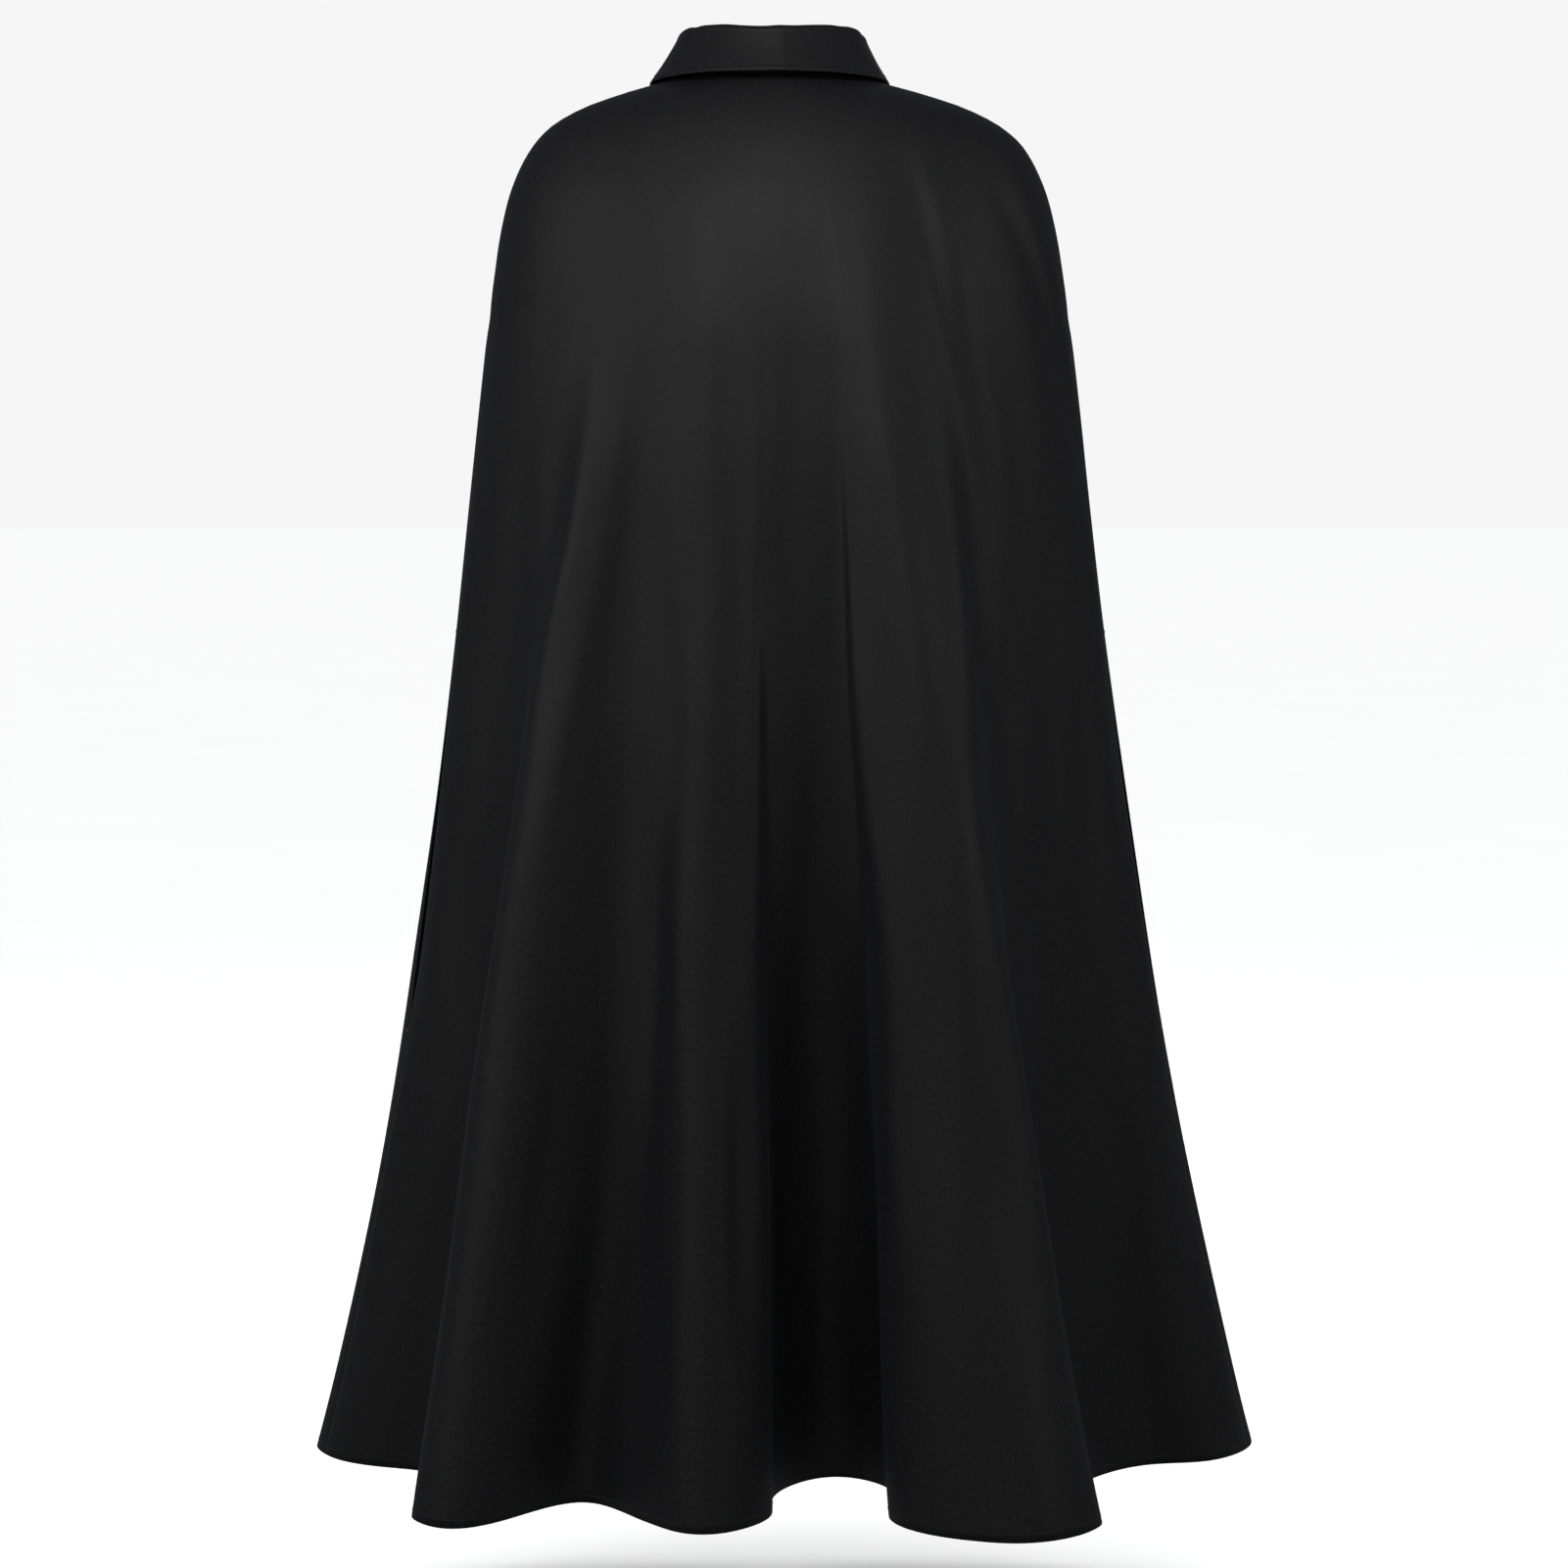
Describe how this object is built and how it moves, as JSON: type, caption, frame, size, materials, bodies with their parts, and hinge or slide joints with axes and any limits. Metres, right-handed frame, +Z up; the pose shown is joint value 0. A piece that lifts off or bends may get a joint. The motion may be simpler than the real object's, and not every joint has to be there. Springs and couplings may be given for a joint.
{
  "type": "superhero cape",
  "caption": "Full-length satin cape with a turned-down buttoned collar, arm slits in the side seams and front edges that turn back.",
  "frame": {"origin": "middle of the neck opening at the height of the back neck seam, which is where the wearer holds the cape up", "axes": "+Z up the wearer's neck, +Y out of the wearer's back, +X towards the wearer's left"},
  "size_m": [0.933, 0.5454, 1.3767],
  "materials": {
    "satin": "black satin, soft sheen",
    "interlining": "matt fusible interlining",
    "thread": "polyester sewing thread",
    "button": "polished, faintly marbled"
  },
  "bodies": {
    "cape": {"back_panel": "satin", "left_front_panel": "satin", "right_front_panel": "satin", "stand_inner": "satin", "stand_interlining": "interlining", "stand_outer": "satin", "upper_collar": "satin", "collar_interlining": "interlining", "under_collar": "satin", "collar_topstitching": "thread", "neck_binding": "satin", "buttonhole_stitching": "thread", "loop_bar_tacks": "thread", "arm_slit_bar_tacks": "thread", "hem_stitching": "thread"},
    "left_edge": {"left_front_edge": "satin", "left_edge_stitching": "thread"},
    "right_edge": {"right_front_edge": "satin", "right_edge_stitching": "thread"},
    "button": {"neck_button": "button", "button_thread": "thread"},
    "loop": {"hanging_loop": "satin"}
  },
  "joints": [
    {"name": "left_edge_turn_back", "type": "hinge", "parent": "cape", "child": "left_edge", "pos_m": [0.00452, -0.13457, -0.21202], "axis": [-0.1287, 0.1187, 0.9846], "range_deg": [0, 110]},
    {"name": "right_edge_turn_back", "type": "hinge", "parent": "cape", "child": "right_edge", "pos_m": [-0.01851, -0.13457, -0.21202], "axis": [-0.1378, -0.1194, -0.9832], "range_deg": [0, 110]},
    {"name": "button_turn", "type": "hinge", "parent": "cape", "child": "button", "pos_m": [0, -0.0823, -0.0554], "axis": [0, -1, 0], "range_deg": [-60, 60]},
    {"name": "loop_swing", "type": "hinge", "parent": "cape", "child": "loop", "pos_m": [0, 0.06964, -0.002], "axis": [-1, 0, 0], "range_deg": [0, 150]}
  ]
}
